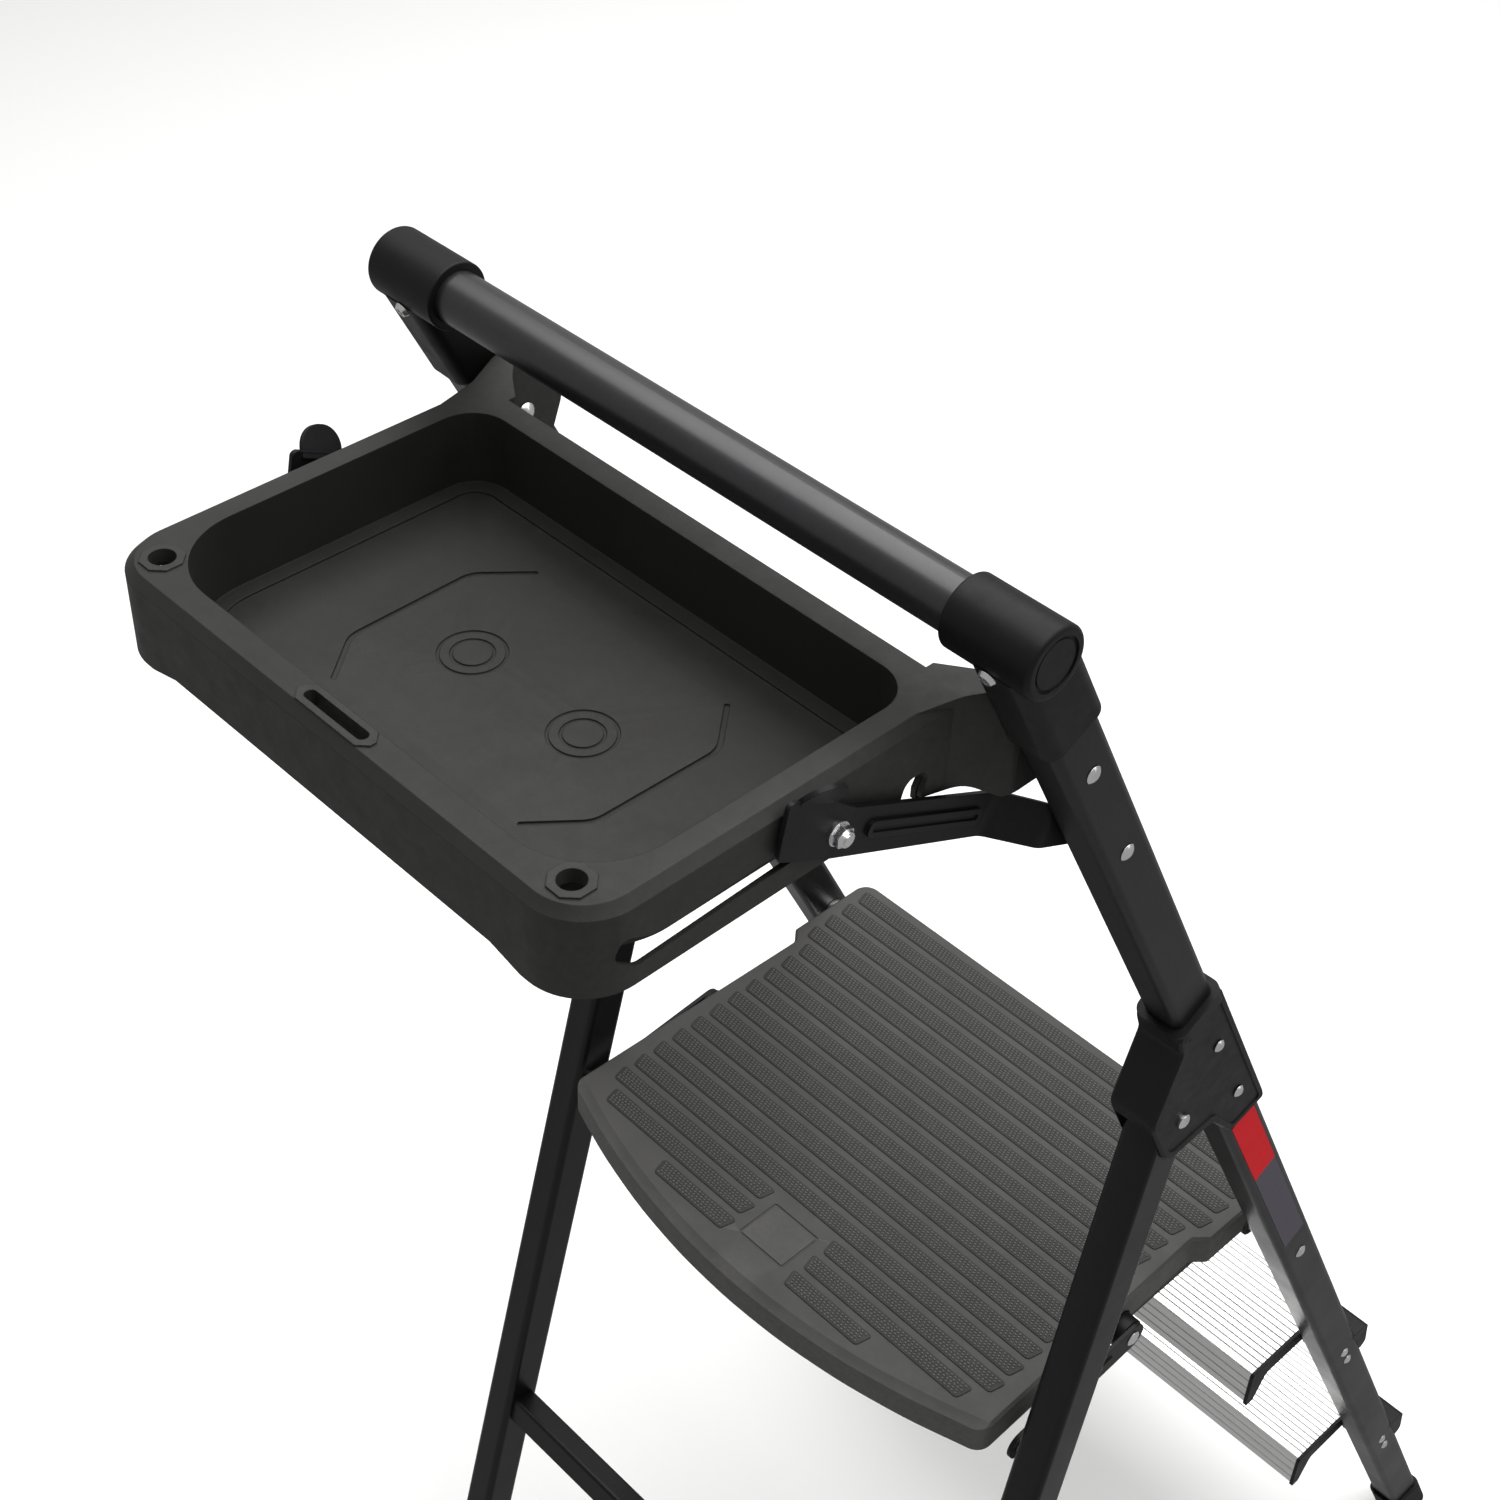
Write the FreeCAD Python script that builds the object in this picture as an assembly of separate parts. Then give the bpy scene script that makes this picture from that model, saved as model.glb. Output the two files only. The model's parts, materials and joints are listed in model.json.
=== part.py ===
"""Folding three-step ladder with a handrail and a fold-down tool tray.

Frame: +Z is up, the climber stands on the -Y side, the tray reaches out to +Y,
and X runs along the handrail.  The origin is on the floor under the middle of
the whole object.  All sizes are millimetres.
"""
import FreeCAD
import Part

import math
import os

from FreeCAD import Vector

os.makedirs("parts", exist_ok=True)

# ---------------------------------------------------------------- driving sizes
PLATFORM_Z = 700.0        # top of the platform above the floor
STEP_RISE = PLATFORM_Z / 3.0
GRIP_Z = 1383.0           # axis of the handrail
GRIP_Y = 258.9            # places the middle of the whole object over the origin

RAIL_LEAN = 27.5          # main rails, degrees from upright
RAIL_SPLAY = 1.72         # main rails, degrees outwards per side
LEG_LEAN = 12.4           # rear legs, degrees from upright
LEG_SPLAY = 1.15
TUBE_W = 26.0             # frame tube, across the ladder
TUBE_D = 32.0             # frame tube, in the plane of the side
TUBE_R = 5.0
TUBE_WALL = 1.6
RAIL_X = 207.5            # centre of a main rail at handrail height

GRIP_R = 14.6             # handrail tube
CAP_R = 19.0              # moulded socket on each end of the handrail
CAP_END_X = 229.0
CAP_LENGTH = 52.0
CAP_SCREW_X = 204.0
CAP_SCREW_DROP = 5.0
SLEEVE_END = 68.0         # down the rail from the handrail axis
SLEEVE_WALL = 3.5

KNEE_U = 460.0            # rear-leg pivot: down the rail, and in front of it
KNEE_V = 39.0
KNUCKLE_WALL = 3.2

PIVOT_U = 797.0           # platform pivot on the rail
LINK_Q = 143.0            # platform pivot to link pin
LINK_R = 298.0            # rear-leg pivot to link stud

TRAY_U = 106.0            # tray hinge on the rail
ARM_U = 185.0             # support-arm pivot on the rail
ARM_LENGTH = 181.0
ARM_RISE = 26.5           # arm above the horizontal when the tray is open

GAP = 0.4                 # between parts that move past each other
PIN_R = 4.0               # pivot pins
HEAD_R = 5.0              # domed heads of the pivot pins
HEAD_LIFT = 0.2           # keeps a head clear of the leaning face under it
RIVET_R = 4.4             # snap-head rivets
RIVET_H = 2.2

SIN_R = math.sin(math.radians(RAIL_LEAN))
COS_R = math.cos(math.radians(RAIL_LEAN))
SIDES = (("left", 1), ("right", -1))
X_AXIS = Vector(1, 0, 0)
Y_AXIS = Vector(0, 1, 0)
Z_AXIS = Vector(0, 0, 1)


# ---------------------------------------------------------------- helpers
def on_side(u, v=0.0):
    """(y, z) of a point u down the main rail and v in front of its axis."""
    return (GRIP_Y - u * SIN_R + v * COS_R, GRIP_Z - u * COS_R - v * SIN_R)


KNEE = on_side(KNEE_U, KNEE_V)
PIVOT = on_side(PIVOT_U)
TRAY_HINGE = on_side(TRAY_U)
ARM_PIVOT = on_side(ARM_U)


def on_leg(s, n=0.0):
    """(y, z) of a point s down the rear leg from its pivot and n in front of it."""
    lean = math.radians(LEG_LEAN)
    return (KNEE[0] + s * math.sin(lean) + n * math.cos(lean),
            KNEE[1] - s * math.cos(lean) + n * math.sin(lean))


def in_yz(x):
    """Plane facing along X at the given x, for outlines in (y, z)."""
    return lambda a, b: Vector(x, a, b)


def in_xy(z):
    return lambda a, b: Vector(a, b, z)


def rounded_face(points, place):
    """Face inside a polygon whose corners (a, b, radius) are rounded by arcs."""
    corners = []
    count = len(points)
    for i, (a, b, r) in enumerate(points):
        here = Vector(a, b, 0)
        back = Vector(*points[i - 1][:2], 0) - here
        ahead = Vector(*points[(i + 1) % count][:2], 0) - here
        back.normalize()
        ahead.normalize()
        if r <= 0:
            corners.append((here, None, here))
            continue
        half = back.getAngle(ahead) / 2
        reach = r / math.tan(half)
        middle = back + ahead
        middle.normalize()
        crest = here + middle * (r / math.sin(half) - r)
        corners.append((here + back * reach, crest, here + ahead * reach))
    edges = []
    for i, (start, crest, end) in enumerate(corners):
        if crest is not None:
            arc = Part.Arc(*(place(p.x, p.y) for p in (start, crest, end)))
            edges.append(arc.toShape())
        following = corners[(i + 1) % count][0]
        if end.distanceToPoint(following) > 1e-6:
            line = Part.LineSegment(place(end.x, end.y), place(following.x, following.y))
            edges.append(line.toShape())
    return Part.Face(Part.Wire(edges))


def slab(points, x0, x1):
    """Rounded (y, z, r) outline given thickness from x0 to x1."""
    return rounded_face(points, in_yz(x0)).extrude(Vector(x1 - x0, 0, 0))


def plate(points, z0, z1):
    """Rounded (x, y, r) outline given thickness from z0 to z1."""
    return rounded_face(points, in_xy(z0)).extrude(Vector(0, 0, z1 - z0))


def rectangle(a0, b0, a1, b1, r):
    return [(a0, b0, r), (a1, b0, r), (a1, b1, r), (a0, b1, r)]


def box(x0, y0, z0, x1, y1, z1):
    return Part.makeBox(x1 - x0, y1 - y0, z1 - z0, Vector(x0, y0, z0))


def pin(x0, x1, centre, radius):
    """Round pin along X between x0 and x1, at centre (y, z)."""
    low = min(x0, x1)
    return Part.makeCylinder(radius, abs(x1 - x0), Vector(low, *centre), X_AXIS)


def dome(x, centre, radius, height, outwards):
    """Rivet or screw head on a face at x, bulging along outwards * X."""
    ball = (radius ** 2 + height ** 2) / (2 * height)
    middle = Vector(x - outwards * (ball - height), *centre)
    keep = pin(x, x + outwards * height * 1.01, centre, radius * 1.01)
    return Part.makeSphere(ball, middle).common(keep)


def splayed(shape, side, degrees=RAIL_SPLAY, x=RAIL_X, y=GRIP_Y, z=GRIP_Z):
    """Lean a side assembly outwards about the Y line through its top."""
    turned = shape.copy()
    turned.rotate(Vector(side * x, y, z), Y_AXIS, -side * degrees)
    return turned


def along_rail(shape):
    """Turn a piece modelled upright under the handrail onto the rail's lean."""
    turned = shape.copy()
    turned.rotate(Vector(0, GRIP_Y, GRIP_Z), X_AXIS, -RAIL_LEAN)
    return turned


def prism_below(point, width, depth, radius, top, bottom):
    """Upright rounded-rectangle bar from top to bottom, measured below point."""
    x, y, z = point
    ends = rectangle(x - width / 2, y - depth / 2, x + width / 2, y + depth / 2, radius)
    return plate(ends, z - bottom, z - top)


def write(name, *shapes):
    """Write one node: one solid, or a group of identical separate solids."""
    solids = [solid for shape in shapes for solid in shape.Solids]
    result = solids[0] if len(solids) == 1 else Part.makeCompound(solids)
    result.exportStep("parts/" + name + ".step")
    print(name, len(solids), result.isValid(), round(result.Volume))


def rail_x_at(z):
    """Centre of a main rail at height z."""
    return RAIL_X + (GRIP_Z - z) * math.tan(math.radians(RAIL_SPLAY))


def leg_x_at(z):
    """Centre of a rear leg at height z."""
    return rail_x_at(KNEE[1]) + (KNEE[1] - z) * math.tan(math.radians(LEG_SPLAY))


def rail_bar(side, width, depth, radius, top, bottom):
    """Straight bar on the axis of a main rail."""
    bar = prism_below((side * RAIL_X, GRIP_Y, GRIP_Z), width, depth, radius, top, bottom)
    return splayed(along_rail(bar), side)


def leg_bar(side, width, depth, radius, top, bottom):
    """Straight bar on the axis of a rear leg."""
    x = rail_x_at(KNEE[1])
    bar = prism_below((side * x, *KNEE), width, depth, radius, top, bottom)
    bar.rotate(Vector(0, *KNEE), X_AXIS, LEG_LEAN)
    return splayed(bar, side, LEG_SPLAY, x, *KNEE)


def floor_cut(z):
    """Everything below height z, to trim a bar level with the floor."""
    return box(-600, -1200, z - 900, 600, 1200, z)


# ---------------------------------------------------------------- front frame
FOOT_TOP = 46.0           # height of the rubber boots
FOOT_SOLE = 7.0           # rubber under the tube
FOOT_WALL = 3.0
RAIL_TOP = 16.5           # down from the handrail axis
BAR_LENGTH = 1700.0       # longer than any bar before it is trimmed


def rail_tube(side):
    """Hollow main rail, drilled for the three pins that cross it."""
    outside = rail_bar(side, TUBE_W, TUBE_D, TUBE_R, RAIL_TOP, BAR_LENGTH)
    inner_w = TUBE_W - 2 * TUBE_WALL
    inner_d = TUBE_D - 2 * TUBE_WALL
    inside = rail_bar(side, inner_w, inner_d, TUBE_R - TUBE_WALL, RAIL_TOP - 1, BAR_LENGTH + 1)
    holes = [pin(side * 150, side * 300, centre, PIN_R)
             for centre in (TRAY_HINGE, ARM_PIVOT, PIVOT)]
    return outside.cut(inside).cut(floor_cut(FOOT_SOLE)).cut(holes)


def boot(outside, tube):
    """Rubber boot: a cup round the end of a tube with a grooved flat sole."""
    cup = outside.common(box(-600, -900, 0, 600, 900, FOOT_TOP)).cut(tube)
    centre = cup.BoundBox
    for step in (-1, 0, 1):
        y = centre.Center.y + step * 9.0
        cup = cup.cut(box(centre.XMin - 1, y - 1.0, -1, centre.XMax + 1, y + 1.0, 1.5))
    return cup


def rail_foot(side):
    width = TUBE_W + 2 * FOOT_WALL
    depth = TUBE_D + 2 * FOOT_WALL
    outside = rail_bar(side, width, depth, TUBE_R + FOOT_WALL, 1300, BAR_LENGTH)
    tube = rail_bar(side, TUBE_W, TUBE_D, TUBE_R, RAIL_TOP, BAR_LENGTH).cut(floor_cut(FOOT_SOLE))
    return boot(outside, tube)


def leg_foot(side):
    width = TUBE_W + 2 * FOOT_WALL
    depth = TUBE_D + 2 * FOOT_WALL
    outside = leg_bar(side, width, depth, TUBE_R + FOOT_WALL, 800, BAR_LENGTH)
    tube = leg_bar(side, TUBE_W, TUBE_D, TUBE_R, 0, BAR_LENGTH).cut(floor_cut(FOOT_SOLE))
    return boot(outside, tube)


def handrail_tube():
    centre = (GRIP_Y, GRIP_Z)
    reach = CAP_END_X - 8.0
    outside = pin(-reach, reach, centre, GRIP_R)
    return outside.cut(pin(-reach - 1, reach + 1, centre, GRIP_R - 1.5))


def grip_cap(side):
    """Moulded socket: a round cup on the handrail and a sleeve down the rail."""
    centre = (GRIP_Y, GRIP_Z)
    inner = side * (CAP_END_X - CAP_LENGTH)
    cup = pin(inner, side * CAP_END_X, centre, CAP_R)
    for x, radius in ((side * CAP_END_X, 2.5), (inner, 1.0)):
        rim = [e for e in cup.Edges if e.BoundBox.XLength < 0.1 and abs(e.BoundBox.Center.x - x) < 0.1]
        cup = cup.makeFillet(radius, rim)
    width = TUBE_W + 2 * SLEEVE_WALL
    depth = TUBE_D + 2 * SLEEVE_WALL
    sleeve = rail_bar(side, width, depth, TUBE_R + 3, 2.0, SLEEVE_END)
    lower = [e for e in sleeve.Edges if e.BoundBox.ZMax < GRIP_Z - SLEEVE_END * COS_R + depth * SIN_R / 2 + 1]
    sleeve = sleeve.makeFillet(1.2, lower)
    shape = cup.fuse(sleeve)
    shape = shape.cut(pin(inner - side, side * (CAP_END_X - 8.0), centre, GRIP_R))
    shape = shape.cut(rail_bar(side, TUBE_W, TUBE_D, TUBE_R, RAIL_TOP, BAR_LENGTH))
    recess = pin(side * (CAP_END_X - 1.2), side * (CAP_END_X + 1), centre, CAP_R * 0.75)
    island = pin(side * (CAP_END_X - 1.3), side * (CAP_END_X - 0.5), centre, CAP_R * 0.66)
    return shape.cut(recess).fuse(island).removeSplitter()


def cap_screw(side):
    """Pan-head screw through the front of the socket, close under the handrail."""
    x = side * CAP_SCREW_X
    z = GRIP_Z - CAP_SCREW_DROP
    base = GRIP_Y + TUBE_D / 2 + SLEEVE_WALL
    top = base + 2.4
    head = Part.makeCone(4.6, 3.4, top - base, Vector(x, base, z), Y_AXIS)
    cross = [box(x - 3.0, top - 1.0, z - 0.6, x + 3.0, top + 1, z + 0.6),
             box(x - 0.6, top - 1.0, z - 3.0, x + 0.6, top + 1, z + 3.0)]
    return splayed(along_rail(head.cut(cross)), side)


def knuckle(side):
    """Moulded bracket: a sleeve round the rail that opens into a fork for the leg."""
    rail_half = TUBE_W / 2
    outline = [(on_side(382, -19.5), 4), (on_side(382, 19.8), 5), (on_side(398, 22), 8),
               (on_side(432, 60), 12), (on_side(482, 62), 12), (on_side(500, 22.5), 8),
               (on_side(533, 14), 8), (on_side(540, -19.5), 4)]
    points = [(y, z, r) for (y, z), r in outline]
    x_in = RAIL_X - rail_half - KNUCKLE_WALL
    x_out = RAIL_X + rail_half + KNUCKLE_WALL
    body = slab(points, x_in, x_out)
    outer_faces = [e for e in body.Edges
                   if e.BoundBox.XLength < 0.01 and e.BoundBox.DiagonalLength > 8]
    body = body.makeChamfer(1.6, outer_faces)
    collar = prism_below((RAIL_X, GRIP_Y, GRIP_Z), TUBE_W + 2 * KNUCKLE_WALL + 2.4,
                         TUBE_D + 9.4, TUBE_R + 3, 380, 390)
    body = body.fuse(along_rail(collar))
    groove = prism_below((RAIL_X, GRIP_Y - 20.2, GRIP_Z), TUBE_W - 8, 2.4, 1, 398, 526)
    body = body.cut(along_rail(groove))
    panel = [(*on_side(387, -15), 3), (*on_side(387, 15.5), 4), (*on_side(400, 18), 8),
             (*on_side(434, 55), 10), (*on_side(478, 57), 10), (*on_side(494, 18.5), 8),
             (*on_side(529, 10), 6), (*on_side(534, -15), 3)]
    for start in (x_in - 1, x_out - 0.8):
        body = body.cut(slab(panel, start, start + 1.8))
    if side < 0:
        body = body.mirror(Vector(0, 0, 0), X_AXIS)
    body = splayed(body, side)
    body = body.cut(rail_bar(side, TUBE_W, TUBE_D, TUBE_R, RAIL_TOP, BAR_LENGTH))
    web = KNEE_V - TUBE_D / 2 - 0.8
    roof = KNEE_U - TUBE_D / 2 - 0.8
    pocket = [(*on_side(u, v), 0) for u, v in ((roof, web), (roof, 90), (600, 90), (600, web))]
    x = side * rail_x_at(KNEE[1])
    half = TUBE_W / 2 + 2 * GAP
    body = body.cut(slab(pocket, x - half, x + half))
    return body.cut(pin(side * 180, side * 280, KNEE, PIN_R)).removeSplitter()


def rail_rivet(side, u, v=-3.0, proud=0.0):
    """Rivet head on the outer face of a main rail, and its twin on the inner face."""
    y, z = on_side(u, v)
    x = rail_x_at(z)
    face = TUBE_W / 2 + proud
    heads = [dome(side * (x + face - 0.3), (y, z), RIVET_R, RIVET_H + 0.3, side),
             dome(side * (x - face + 0.3), (y, z), RIVET_R, RIVET_H + 0.3, -side)]
    bar = rail_bar(side, TUBE_W + 2 * proud, 200, 1, RAIL_TOP, BAR_LENGTH)
    return [head.cut(bar) for head in heads]


def label(side, u0, u1):
    """Thin sticker on the outer face of a rail."""
    x = RAIL_X + TUBE_W / 2
    sheet = Part.makeBox(0.3, 21.0, u1 - u0, Vector(x, GRIP_Y - 10.5, GRIP_Z - u1))
    if side < 0:
        sheet = sheet.mirror(Vector(0, 0, 0), X_AXIS)
    return splayed(along_rail(sheet), side)


# steps: ribbed aluminium extrusions between the main rails
TREAD_FRONT = 72.0        # ahead of the rail axis
TREAD_BACK = 26.0         # behind it
TREAD_SKIN = 2.4
FLANGE_DEPTH = 36.0
RIB_PITCH = 6.0
CAP_PLATE = 3.0


def tread_half(z):
    """Half length of a tread: it has to pass between the folded rear legs."""
    y_rail = GRIP_Y - (GRIP_Z - z) * math.tan(math.radians(RAIL_LEAN))
    reach = math.hypot(y_rail - KNEE[0], z - KNEE[1])
    inner = rail_x_at(KNEE[1]) + reach * math.tan(math.radians(LEG_SPLAY)) - TUBE_W / 2
    return min(inner, rail_x_at(z) - TUBE_W / 2) - CAP_PLATE - 1.2


def step_axis(z):
    return GRIP_Y - (GRIP_Z - z) * math.tan(math.radians(RAIL_LEAN))


def step_profile(z, grow=0.0):
    """Closed (y, z, r) outline of a tread, from its nose round to the front flange."""
    y = step_axis(z)
    front = y + TREAD_FRONT + grow
    back = y - TREAD_BACK - grow
    return [(back, z + grow, 3), (front, z + grow, 3), (front, z - FLANGE_DEPTH - grow, 2),
            (front - 9, z - FLANGE_DEPTH - grow, 1), (front - 20, z - 13, 6),
            (back + 20, z - 13, 6), (back + 8, z - 25 - grow, 1), (back, z - 25 - grow, 3)]


def step_tread(z):
    half = tread_half(z)
    body = slab(step_profile(z), -half, half)
    body = body.cut(box(-half - 1, step_axis(z) - TREAD_BACK + TREAD_SKIN, z - 22.6,
                        half + 1, step_axis(z) + TREAD_FRONT - TREAD_SKIN, z - 3.4))
    ribs = int((TREAD_FRONT + TREAD_BACK - 12) / RIB_PITCH)
    grooves = []
    for i in range(ribs + 1):
        y = step_axis(z) - TREAD_BACK + 6 + i * RIB_PITCH
        grooves.append(box(-half - 1, y - 1.1, z - 1.2, half + 1, y + 1.1, z + 1))
    for drop in (9, 18, 27):
        y = step_axis(z) + TREAD_FRONT
        grooves.append(box(-half - 1, y - 0.6, z - drop - 0.8, half + 1, y + 1, z - drop + 0.8))
    return body.cut(grooves)


def step_cap(side, z):
    """Moulded end of a tread: an end plate, a block that meets the rail, and a nose."""
    half = tread_half(z)
    shape = slab(step_profile(z, 1.2), side * half, side * (half + CAP_PLATE))
    y = step_axis(z)
    reach = side * (rail_x_at(z) + TUBE_W / 2)
    nose = slab([(y - 34, z + 1.2, 5), (y - 10, z + 1.2, 0), (y - 24, z - 30, 0), (y - 40, z - 30, 6)],
                side * half, reach)
    block = slab([(y - 12, z - 2, 2), (y + 10, z - 2, 2), (y - 4, z - 30, 2), (y - 26, z - 30, 2)],
                 side * half, reach)
    shape = shape.fuse([nose, block])
    shape = shape.cut(slab(step_profile(z), side * (half - 1), side * half))
    rail = rail_bar(side, TUBE_W, TUBE_D, TUBE_R, RAIL_TOP, BAR_LENGTH)
    shape = shape.cut(rail)
    keep = [s for s in shape.Solids if s.Volume > 500]
    return max(keep, key=lambda s: s.Volume)


# ---------------------------------------------------------------- rear frame
LEG_BARS = (("rear_crossbar_upper", 650.0), ("rear_crossbar_lower", 905.0))
CROSS_W = 24.0            # crossbars, in the plane of the legs
CROSS_D = 20.0


def rear_leg(side):
    outside = leg_bar(side, TUBE_W, TUBE_D, TUBE_R, 0, BAR_LENGTH)
    x = side * rail_x_at(KNEE[1])
    half = TUBE_W / 2
    crown = pin(x - half, x + half, KNEE, TUBE_D / 2)
    wall = TUBE_WALL
    inside = leg_bar(side, TUBE_W - 2 * wall, TUBE_D - 2 * wall, TUBE_R - wall, 22, BAR_LENGTH + 1)
    shape = outside.fuse(crown).removeSplitter().cut(inside).cut(floor_cut(FOOT_SOLE))
    return shape.cut(pin(x - half - 1, x + half + 1, KNEE, PIN_R + 0.05))


def rear_crossbar(s):
    """Box tube between the rear legs, in the plane of their axes."""
    z = on_leg(s)[1]
    half = leg_x_at(z) - TUBE_W / 2
    bar = box(-half, -CROSS_D / 2, -CROSS_W / 2, half, CROSS_D / 2, CROSS_W / 2)
    bar = bar.makeFillet(3, [e for e in bar.Edges if e.BoundBox.XLength > 100])
    bar = bar.cut(box(-half - 1, 1.6 - CROSS_D / 2, 1.6 - CROSS_W / 2,
                      half + 1, CROSS_D / 2 - 1.6, CROSS_W / 2 - 1.6))
    bar.rotate(Vector(0, 0, 0), X_AXIS, LEG_LEAN)
    bar.translate(Vector(0, *on_leg(s)))
    trim = [leg_bar(side, TUBE_W, TUBE_D, TUBE_R, 0, BAR_LENGTH) for _, side in SIDES]
    return bar.cut(trim)


def crossbar_rivets(s):
    """Rivet heads on the outside of the legs at both ends of a crossbar."""
    heads = []
    for _, side in SIDES:
        for shift in (-6, 6):
            y, z = on_leg(s + shift)
            x = leg_x_at(z) + TUBE_W / 2
            leg = leg_bar(side, TUBE_W, 200, 1, 0, BAR_LENGTH)
            heads.append(dome(side * (x - 0.3), (y, z), 3.6, RIVET_H + 0.3, side).cut(leg))
    return heads


def knee_pin(side):
    """Pin through the fork of the knuckle and the top of the rear leg."""
    x = rail_x_at(KNEE[1])
    half = TUBE_W / 2 + KNUCKLE_WALL
    shank = pin(side * (x - half - 1.5), side * (x + half + 1.5), KNEE, PIN_R)
    outer = dome(side * (x + half + 0.6), KNEE, HEAD_R, RIVET_H, side)
    inner = dome(side * (x - half - 0.6), KNEE, HEAD_R, RIVET_H, -side)
    return shank.fuse([outer, inner]).removeSplitter()


# ---------------------------------------------------------------- platform
PLAT_BACK = GRIP_Y - 392.0
PLAT_WIDE = 203.0         # half width behind the notch
PLAT_NECK = 194.0         # half width in front of it
PLAT_NOTCH = GRIP_Y - 307.0
PLAT_CORNER = GRIP_Y - 84.0
PLAT_FRONT = GRIP_Y - 47.0
PLAT_SKIN = 5.0
PLAT_RIM = 25.0
PLAT_BEVEL = 2.0          # edges at the sides and the back
PLAT_BROW = (8.0, 3.5)    # sloping border along the front: width and drop
STRIP_COUNT = 17
STRIP_PITCH = 18.7
STRIP_WIDTH = 13.0
STRIP_RAISE = 0.7
FRAME_DROP = 45.0         # depth of the side frames under the platform
FRAME_THICK = 4.0


def platform_outline(inset=0.0):
    """(x, y, r) outline seen from above, with an evenly bowed front edge."""
    wide = PLAT_WIDE - inset
    neck = PLAT_NECK - inset
    corner_x = PLAT_NECK + 5 - inset
    back = PLAT_BACK + inset
    half = [(wide, back, 12), (wide, PLAT_NOTCH - 6, 4), (neck, PLAT_NOTCH + 4, 4)]
    for share, r in ((1.0, 12), (0.75, 420), (0.5, 420), (0.25, 420)):
        half.append((corner_x * share, front_edge_y((PLAT_NECK + 5) * share) - inset, r))
    middle = [(0, PLAT_FRONT - inset, 420)]
    return half + middle + [(-x, y, r) for x, y, r in reversed(half)]


def front_edge_y(x):
    """Front edge of the platform at a distance x from its middle."""
    reach = PLAT_NECK + 5
    return PLAT_FRONT - (PLAT_FRONT - PLAT_CORNER) * (abs(x) / reach) ** 2


def strip(y, x0, x1):
    """One raised tread strip with slanted ends."""
    a = STRIP_WIDTH / 2
    outline = [(x0, y - a, 2), (x1, y - a, 2), (x1 - 3, y + a, 3), (x0 + 3, y + a, 3)]
    return plate(outline, PLATFORM_Z - 1, PLATFORM_Z + STRIP_RAISE)


BADGE = 21.0              # half size of the blank square panel near the front edge
BADGE_Y = GRIP_Y - 96.0


def platform_strips():
    strips = []
    for i in range(STRIP_COUNT):
        y = PLAT_BACK + 16 + i * STRIP_PITCH
        half = (PLAT_WIDE if y < PLAT_NOTCH - 12 else PLAT_NECK) - 9
        while front_edge_y(half) < y + STRIP_WIDTH / 2 + PLAT_BROW[0] + 5:
            half -= 4.0
        if abs(y - BADGE_Y) < BADGE + STRIP_WIDTH / 2 + 1:
            inner = BADGE + 7
            strips += [strip(y, -half, -inner), strip(y, inner, half)]
        else:
            strips.append(strip(y, -half, half))
    return strips


def brow():
    """Ring that slopes the border along the bowed front edge."""
    width, drop = PLAT_BROW
    bow = PLAT_FRONT - PLAT_CORNER
    radius = ((PLAT_NECK + 5) ** 2 + bow ** 2) / (2 * bow)
    base = Vector(0, PLAT_FRONT - radius, PLATFORM_Z - drop)
    keep = Part.makeCone(radius, radius - width * 1.25, drop * 1.25, base)
    return Part.makeCylinder(radius + 30, drop * 1.2, base).cut(keep)


def platform_top():
    top = plate(platform_outline(), PLATFORM_Z - PLAT_RIM, PLATFORM_Z)
    upper = [e for e in top.Edges if abs(e.BoundBox.ZMin - PLATFORM_Z) < 0.01]
    top = top.makeChamfer(PLAT_BEVEL, upper).cut(brow())
    under = plate(platform_outline(4.0), PLATFORM_Z - PLAT_RIM - 1, PLATFORM_Z - PLAT_SKIN)
    ribs = [box(x - 1.2, PLAT_BACK + 3, PLATFORM_Z - 18, x + 1.2, PLAT_FRONT - 3, PLATFORM_Z - PLAT_SKIN)
            for x in range(-160, 161, 40)]
    ribs += [box(-196, PLAT_BACK + d - 1.2, PLATFORM_Z - 18, 196, PLAT_BACK + d + 1.2,
                 PLATFORM_Z - PLAT_SKIN) for d in (70, 140, 210, 280)]
    under = under.cut(ribs)
    top = top.cut(under)
    badge = plate(rectangle(-BADGE, BADGE_Y - BADGE + 3, BADGE, BADGE_Y + BADGE - 3, 2),
                  PLATFORM_Z - 0.6, PLATFORM_Z + 1)
    frame = plate(rectangle(-BADGE + 1.5, BADGE_Y - BADGE + 4.5, BADGE - 1.5, BADGE_Y + BADGE - 4.5, 1),
                  PLATFORM_Z - 1, PLATFORM_Z)
    top = top.cut(badge.cut(frame))
    reliefs = [platform_frame_blank(side) for _, side in SIDES]
    for _, side in SIDES:
        reliefs.append(pin(side * 182, side * 210, PIVOT, 15))
        reliefs.append(pin(side * 182, side * 210, link_pin_point(), 13))
    return top.fuse(platform_strips()).cut(reliefs).removeSplitter()


FRAME_X = 197.0           # middle of a side frame


def platform_frame_blank(side):
    """Steel side frame under the platform edge, deep at the back and shallow in front."""
    z = PLATFORM_Z - PLAT_SKIN - 1
    y = GRIP_Y
    outline = [(y - 386, z, 4), (y - 100, z, 4), (y - 92, z - 12, 4), (y - 100, z - 22, 4),
               (y - 176, z - 22, 18), (y - 205, z - FRAME_DROP + 6, 14), (y - 372, z - FRAME_DROP + 6, 14),
               (y - 388, z - 24, 6)]
    x = side * (FRAME_X - 10)
    return slab(outline, x - side * FRAME_THICK / 2, x + side * FRAME_THICK / 2)


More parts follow.
